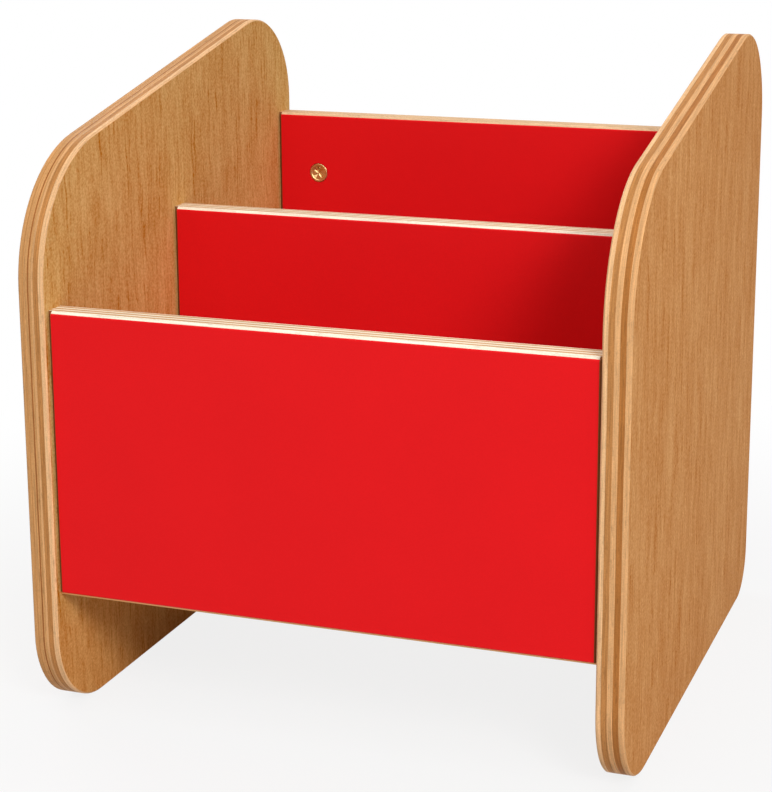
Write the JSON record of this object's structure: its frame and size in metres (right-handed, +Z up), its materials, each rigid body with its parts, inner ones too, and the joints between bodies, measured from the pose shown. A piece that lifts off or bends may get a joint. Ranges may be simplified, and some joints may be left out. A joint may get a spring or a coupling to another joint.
{
  "type": "picture book browser bin",
  "caption": "Two-slot picture book browser bin with rounded plywood sides, stepped laminate-faced dividers and a floor panel, held by turn-to-lock cam fittings.",
  "frame": {"origin": "on the ground, below the middle of the bin", "axes": "+X to the right of someone who faces the front, +Y to the back, the low front divider faces -Y, +Z up"},
  "size_m": [0.4, 0.4, 0.4363],
  "materials": {
    "maple_plywood": "maple veneer plywood, clear satin lacquer, bare ply edges",
    "birch_plywood": "pale plywood core with sanded, lacquered edges",
    "red_laminate": "red high-pressure laminate, satin",
    "cam_metal": "die-cast, brassed",
    "bolt_steel": "zinc plated",
    "beech_dowel": "beech, unfinished"
  },
  "bodies": {
    "bin": {"back_divider_core": "birch_plywood", "back_divider_front_laminate": "red_laminate", "back_divider_rear_laminate": "red_laminate", "bolt_back_left_lower": "bolt_steel", "bolt_back_left_upper": "bolt_steel", "bolt_back_right_lower": "bolt_steel", "bolt_back_right_upper": "bolt_steel", "bolt_floor_left_back": "bolt_steel", "bolt_floor_left_front": "bolt_steel", "bolt_floor_right_back": "bolt_steel", "bolt_floor_right_front": "bolt_steel", "bolt_front_left_lower": "bolt_steel", "bolt_front_left_upper": "bolt_steel", "bolt_front_right_lower": "bolt_steel", "bolt_front_right_upper": "bolt_steel", "bolt_middle_left_lower": "bolt_steel", "bolt_middle_left_upper": "bolt_steel", "bolt_middle_right_lower": "bolt_steel", "bolt_middle_right_upper": "bolt_steel", "dowel_back_left": "beech_dowel", "dowel_back_right": "beech_dowel", "dowel_floor_left": "beech_dowel", "dowel_floor_right": "beech_dowel", "dowel_front_left": "beech_dowel", "dowel_front_right": "beech_dowel", "dowel_middle_left": "beech_dowel", "dowel_middle_right": "beech_dowel", "floor_panel": "maple_plywood", "front_divider_core": "birch_plywood", "front_divider_front_laminate": "red_laminate", "front_divider_rear_laminate": "red_laminate", "left_side_panel": "maple_plywood", "middle_divider_core": "birch_plywood", "middle_divider_front_laminate": "red_laminate", "middle_divider_rear_laminate": "red_laminate", "right_side_panel": "maple_plywood"},
    "cam_back_left_lower": {"cam_back_left_lower": "cam_metal"},
    "cam_back_left_upper": {"cam_back_left_upper": "cam_metal"},
    "cam_back_right_lower": {"cam_back_right_lower": "cam_metal"},
    "cam_back_right_upper": {"cam_back_right_upper": "cam_metal"},
    "cam_floor_left_back": {"cam_floor_left_back": "cam_metal"},
    "cam_floor_left_front": {"cam_floor_left_front": "cam_metal"},
    "cam_floor_right_back": {"cam_floor_right_back": "cam_metal"},
    "cam_floor_right_front": {"cam_floor_right_front": "cam_metal"},
    "cam_front_left_lower": {"cam_front_left_lower": "cam_metal"},
    "cam_front_left_upper": {"cam_front_left_upper": "cam_metal"},
    "cam_front_right_lower": {"cam_front_right_lower": "cam_metal"},
    "cam_front_right_upper": {"cam_front_right_upper": "cam_metal"},
    "cam_middle_left_lower": {"cam_middle_left_lower": "cam_metal"},
    "cam_middle_left_upper": {"cam_middle_left_upper": "cam_metal"},
    "cam_middle_right_lower": {"cam_middle_right_lower": "cam_metal"},
    "cam_middle_right_upper": {"cam_middle_right_upper": "cam_metal"}
  },
  "joints": [
    {"name": "turn_back_left_lower", "type": "hinge", "parent": "bin", "child": "cam_back_left_lower", "pos_m": [-0.148, 0.1764, 0.134], "axis": [0, -1, 0], "range_deg": [0, 180]},
    {"name": "turn_back_left_upper", "type": "hinge", "parent": "bin", "child": "cam_back_left_upper", "pos_m": [-0.148, 0.1764, 0.313], "axis": [0, -1, 0], "range_deg": [0, 180]},
    {"name": "turn_back_right_lower", "type": "hinge", "parent": "bin", "child": "cam_back_right_lower", "pos_m": [0.148, 0.1764, 0.134], "axis": [0, -1, 0], "range_deg": [0, 180]},
    {"name": "turn_back_right_upper", "type": "hinge", "parent": "bin", "child": "cam_back_right_upper", "pos_m": [0.148, 0.1764, 0.313], "axis": [0, -1, 0], "range_deg": [0, 180]},
    {"name": "turn_floor_left_back", "type": "hinge", "parent": "bin", "child": "cam_floor_left_back", "pos_m": [-0.148, 0.1164, 0.092], "axis": [0, 0, -1], "range_deg": [0, 180]},
    {"name": "turn_floor_left_front", "type": "hinge", "parent": "bin", "child": "cam_floor_left_front", "pos_m": [-0.148, -0.1164, 0.092], "axis": [0, 0, -1], "range_deg": [0, 180]},
    {"name": "turn_floor_right_back", "type": "hinge", "parent": "bin", "child": "cam_floor_right_back", "pos_m": [0.148, 0.1164, 0.092], "axis": [0, 0, -1], "range_deg": [0, 180]},
    {"name": "turn_floor_right_front", "type": "hinge", "parent": "bin", "child": "cam_floor_right_front", "pos_m": [0.148, -0.1164, 0.092], "axis": [0, 0, -1], "range_deg": [0, 180]},
    {"name": "turn_front_left_lower", "type": "hinge", "parent": "bin", "child": "cam_front_left_lower", "pos_m": [-0.148, -0.1764, 0.134], "axis": [0, 1, 0], "range_deg": [0, 180]},
    {"name": "turn_front_left_upper", "type": "hinge", "parent": "bin", "child": "cam_front_left_upper", "pos_m": [-0.148, -0.1764, 0.231], "axis": [0, 1, 0], "range_deg": [0, 180]},
    {"name": "turn_front_right_lower", "type": "hinge", "parent": "bin", "child": "cam_front_right_lower", "pos_m": [0.148, -0.1764, 0.134], "axis": [0, 1, 0], "range_deg": [0, 180]},
    {"name": "turn_front_right_upper", "type": "hinge", "parent": "bin", "child": "cam_front_right_upper", "pos_m": [0.148, -0.1764, 0.231], "axis": [0, 1, 0], "range_deg": [0, 180]},
    {"name": "turn_middle_left_lower", "type": "hinge", "parent": "bin", "child": "cam_middle_left_lower", "pos_m": [-0.148, 0.0066, 0.157], "axis": [0, 1, 0], "range_deg": [0, 180]},
    {"name": "turn_middle_left_upper", "type": "hinge", "parent": "bin", "child": "cam_middle_left_upper", "pos_m": [-0.148, 0.0066, 0.268], "axis": [0, 1, 0], "range_deg": [0, 180]},
    {"name": "turn_middle_right_lower", "type": "hinge", "parent": "bin", "child": "cam_middle_right_lower", "pos_m": [0.148, 0.0066, 0.157], "axis": [0, 1, 0], "range_deg": [0, 180]},
    {"name": "turn_middle_right_upper", "type": "hinge", "parent": "bin", "child": "cam_middle_right_upper", "pos_m": [0.148, 0.0066, 0.268], "axis": [0, 1, 0], "range_deg": [0, 180]}
  ]
}
